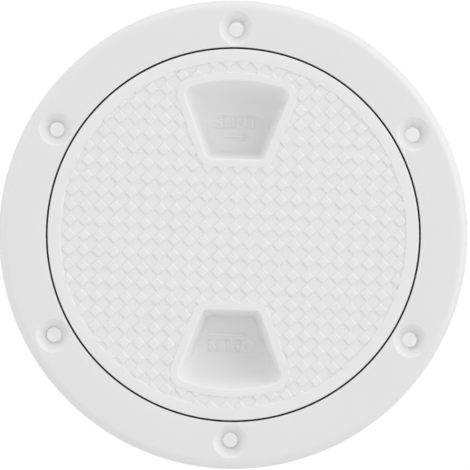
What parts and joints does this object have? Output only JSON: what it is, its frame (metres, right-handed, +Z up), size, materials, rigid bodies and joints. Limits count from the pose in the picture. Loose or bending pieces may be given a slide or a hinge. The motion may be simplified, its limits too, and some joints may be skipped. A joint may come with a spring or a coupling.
{
  "type": "deck inspection plate",
  "caption": "Round white deck inspection plate: flanged mounting ring with countersunk screw holes, and a screw-in lid with raised-diamond tread, finger wells and a black seal.",
  "frame": {"origin": "centre of the ring and of its screw-hole circle, in the plane of the deck that the flange lies on", "axes": "+Z up out of the deck, along the lid's axis; +Y through one of the screw holes"},
  "size_m": [0.146, 0.146, 0.0265],
  "materials": {
    "ring_plastic": "white moulded plastic, satin gloss",
    "lid_plastic": "white moulded plastic, satin gloss",
    "seal_rubber": "black rubber, matt"
  },
  "bodies": {
    "ring": {"mounting_ring": "ring_plastic"},
    "seal": {"rim_seal": "seal_rubber"},
    "lid": {"screw_lid": "lid_plastic"}
  },
  "joints": [
    {"name": "lid_rise", "type": "slide", "parent": "ring", "child": "seal", "axis": [0, 0, 1], "range_m": [0, 0.02]},
    {"name": "lid_turn", "type": "hinge", "parent": "seal", "child": "lid", "pos_m": [0, 0, 0], "axis": [0, 0, 1], "range_deg": [0, 1440]}
  ],
  "couplings": [
    {"joint": "lid_rise", "follows": "lid_turn", "m_per_rad": 0.00079577}
  ]
}
